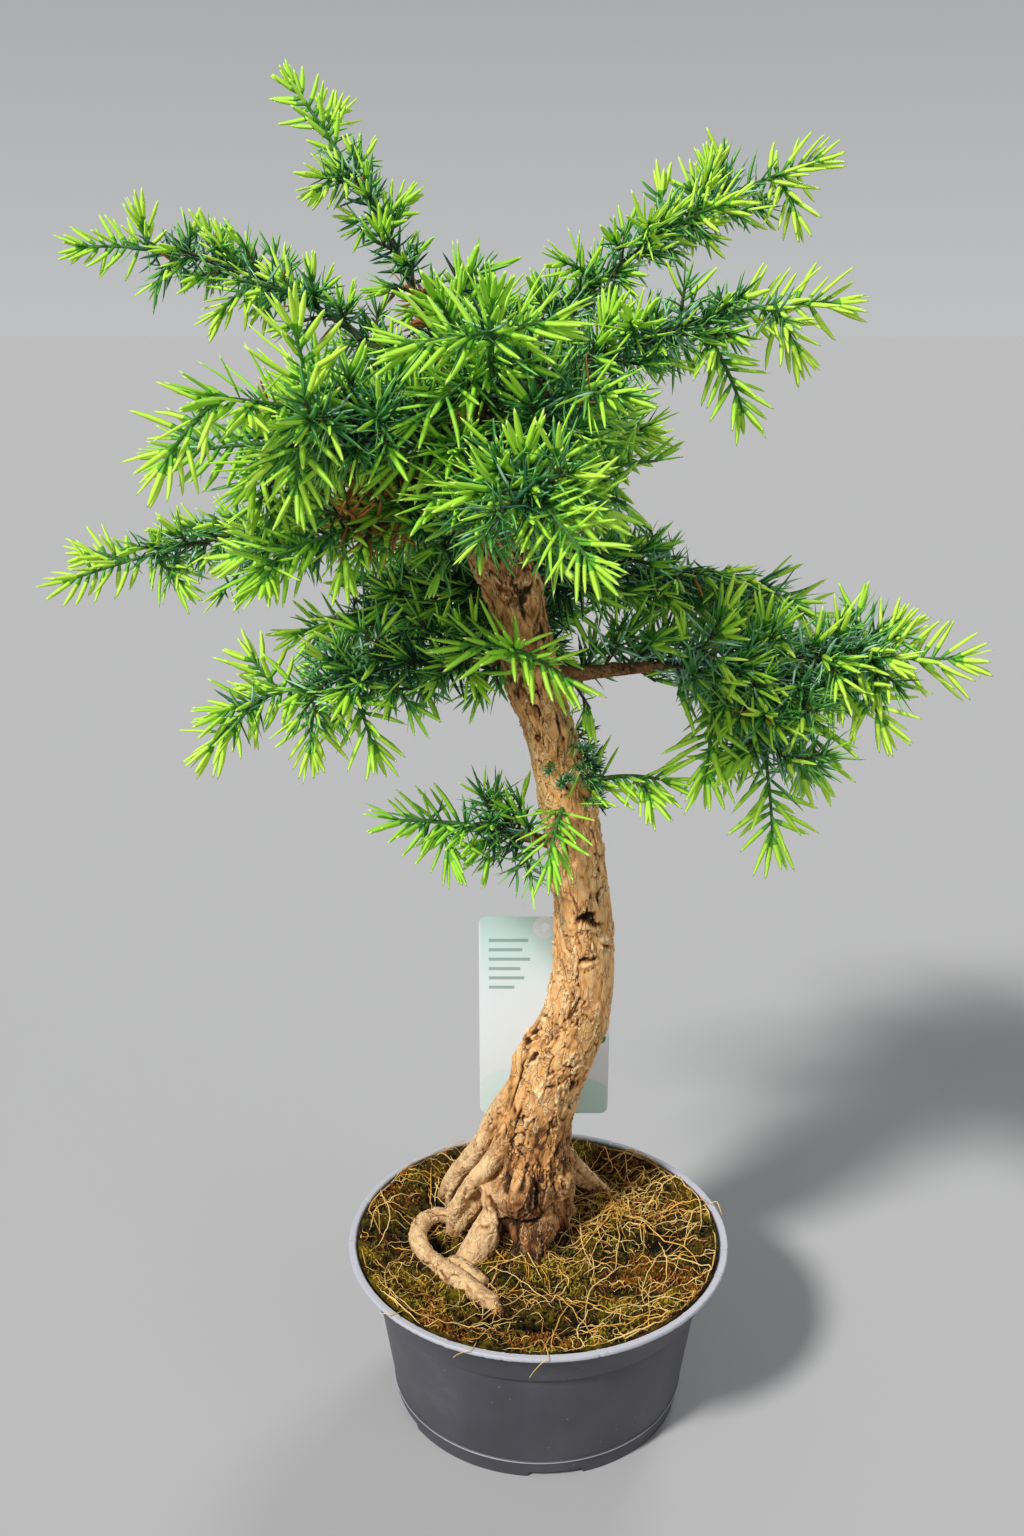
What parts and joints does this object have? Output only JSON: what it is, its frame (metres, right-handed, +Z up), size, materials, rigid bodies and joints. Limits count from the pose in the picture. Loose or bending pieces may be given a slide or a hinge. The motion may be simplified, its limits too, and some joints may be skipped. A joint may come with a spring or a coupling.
{
  "type": "potted hoop pine bonsai",
  "caption": "Small hoop pine bonsai with a bent trunk, spreading boughs tipped with needle foliage, surface roots and a round nursery pot with a plant label.",
  "frame": {"origin": "centre of the pot's flat underside", "axes": "+Z up, +Y away from the viewer of the front, +X to the viewer's right"},
  "size_m": [0.4178, 0.2879, 0.6304],
  "materials": {
    "pot_plastic": "satin moulded",
    "soil": "mossy and fibrous",
    "label_card": "smooth printed",
    "bark": "flaking bark",
    "needles": "waxy leaf"
  },
  "bodies": {
    "root": {"bough_back_high": "bark", "bough_back_left": "bark", "bough_back_low": "bark", "bough_back_mid": "bark", "bough_back_right": "bark", "bough_front_center": "bark", "bough_front_left": "bark", "bough_front_top": "bark", "bough_leader_left": "bark", "bough_left_back_low": "bark", "bough_left_drop": "bark", "bough_left_low": "bark", "bough_left_mid": "bark", "bough_left_thin": "bark", "bough_low_left": "bark", "bough_mid_right": "bark", "bough_right_back": "bark", "bough_right_inner": "bark", "bough_right_low": "bark", "bough_right_small": "bark", "bough_upper_left": "bark", "bough_upper_right": "bark", "foliage_back_high": "needles", "foliage_back_left": "needles", "foliage_back_low": "needles", "foliage_back_mid": "needles", "foliage_back_right": "needles", "foliage_crown_top": "needles", "foliage_front_center": "needles", "foliage_front_left": "needles", "foliage_front_top": "needles", "foliage_hanging_spray": "needles", "foliage_inner_front": "needles", "foliage_inner_left": "needles", "foliage_inner_right": "needles", "foliage_leader_left": "needles", "foliage_left_back_low": "needles", "foliage_left_drop": "needles", "foliage_left_low": "needles", "foliage_left_mid": "needles", "foliage_left_thin": "needles", "foliage_low_left": "needles", "foliage_mid_right": "needles", "foliage_right_back": "needles", "foliage_right_inner": "needles", "foliage_right_low": "needles", "foliage_right_small": "needles", "foliage_small_right": "needles", "foliage_trunk_spray": "needles", "foliage_upper_left": "needles", "foliage_upper_right": "needles", "label": "label_card", "pot": "pot_plastic", "soil": "soil", "trunk": "bark"}
  },
  "joints": []
}
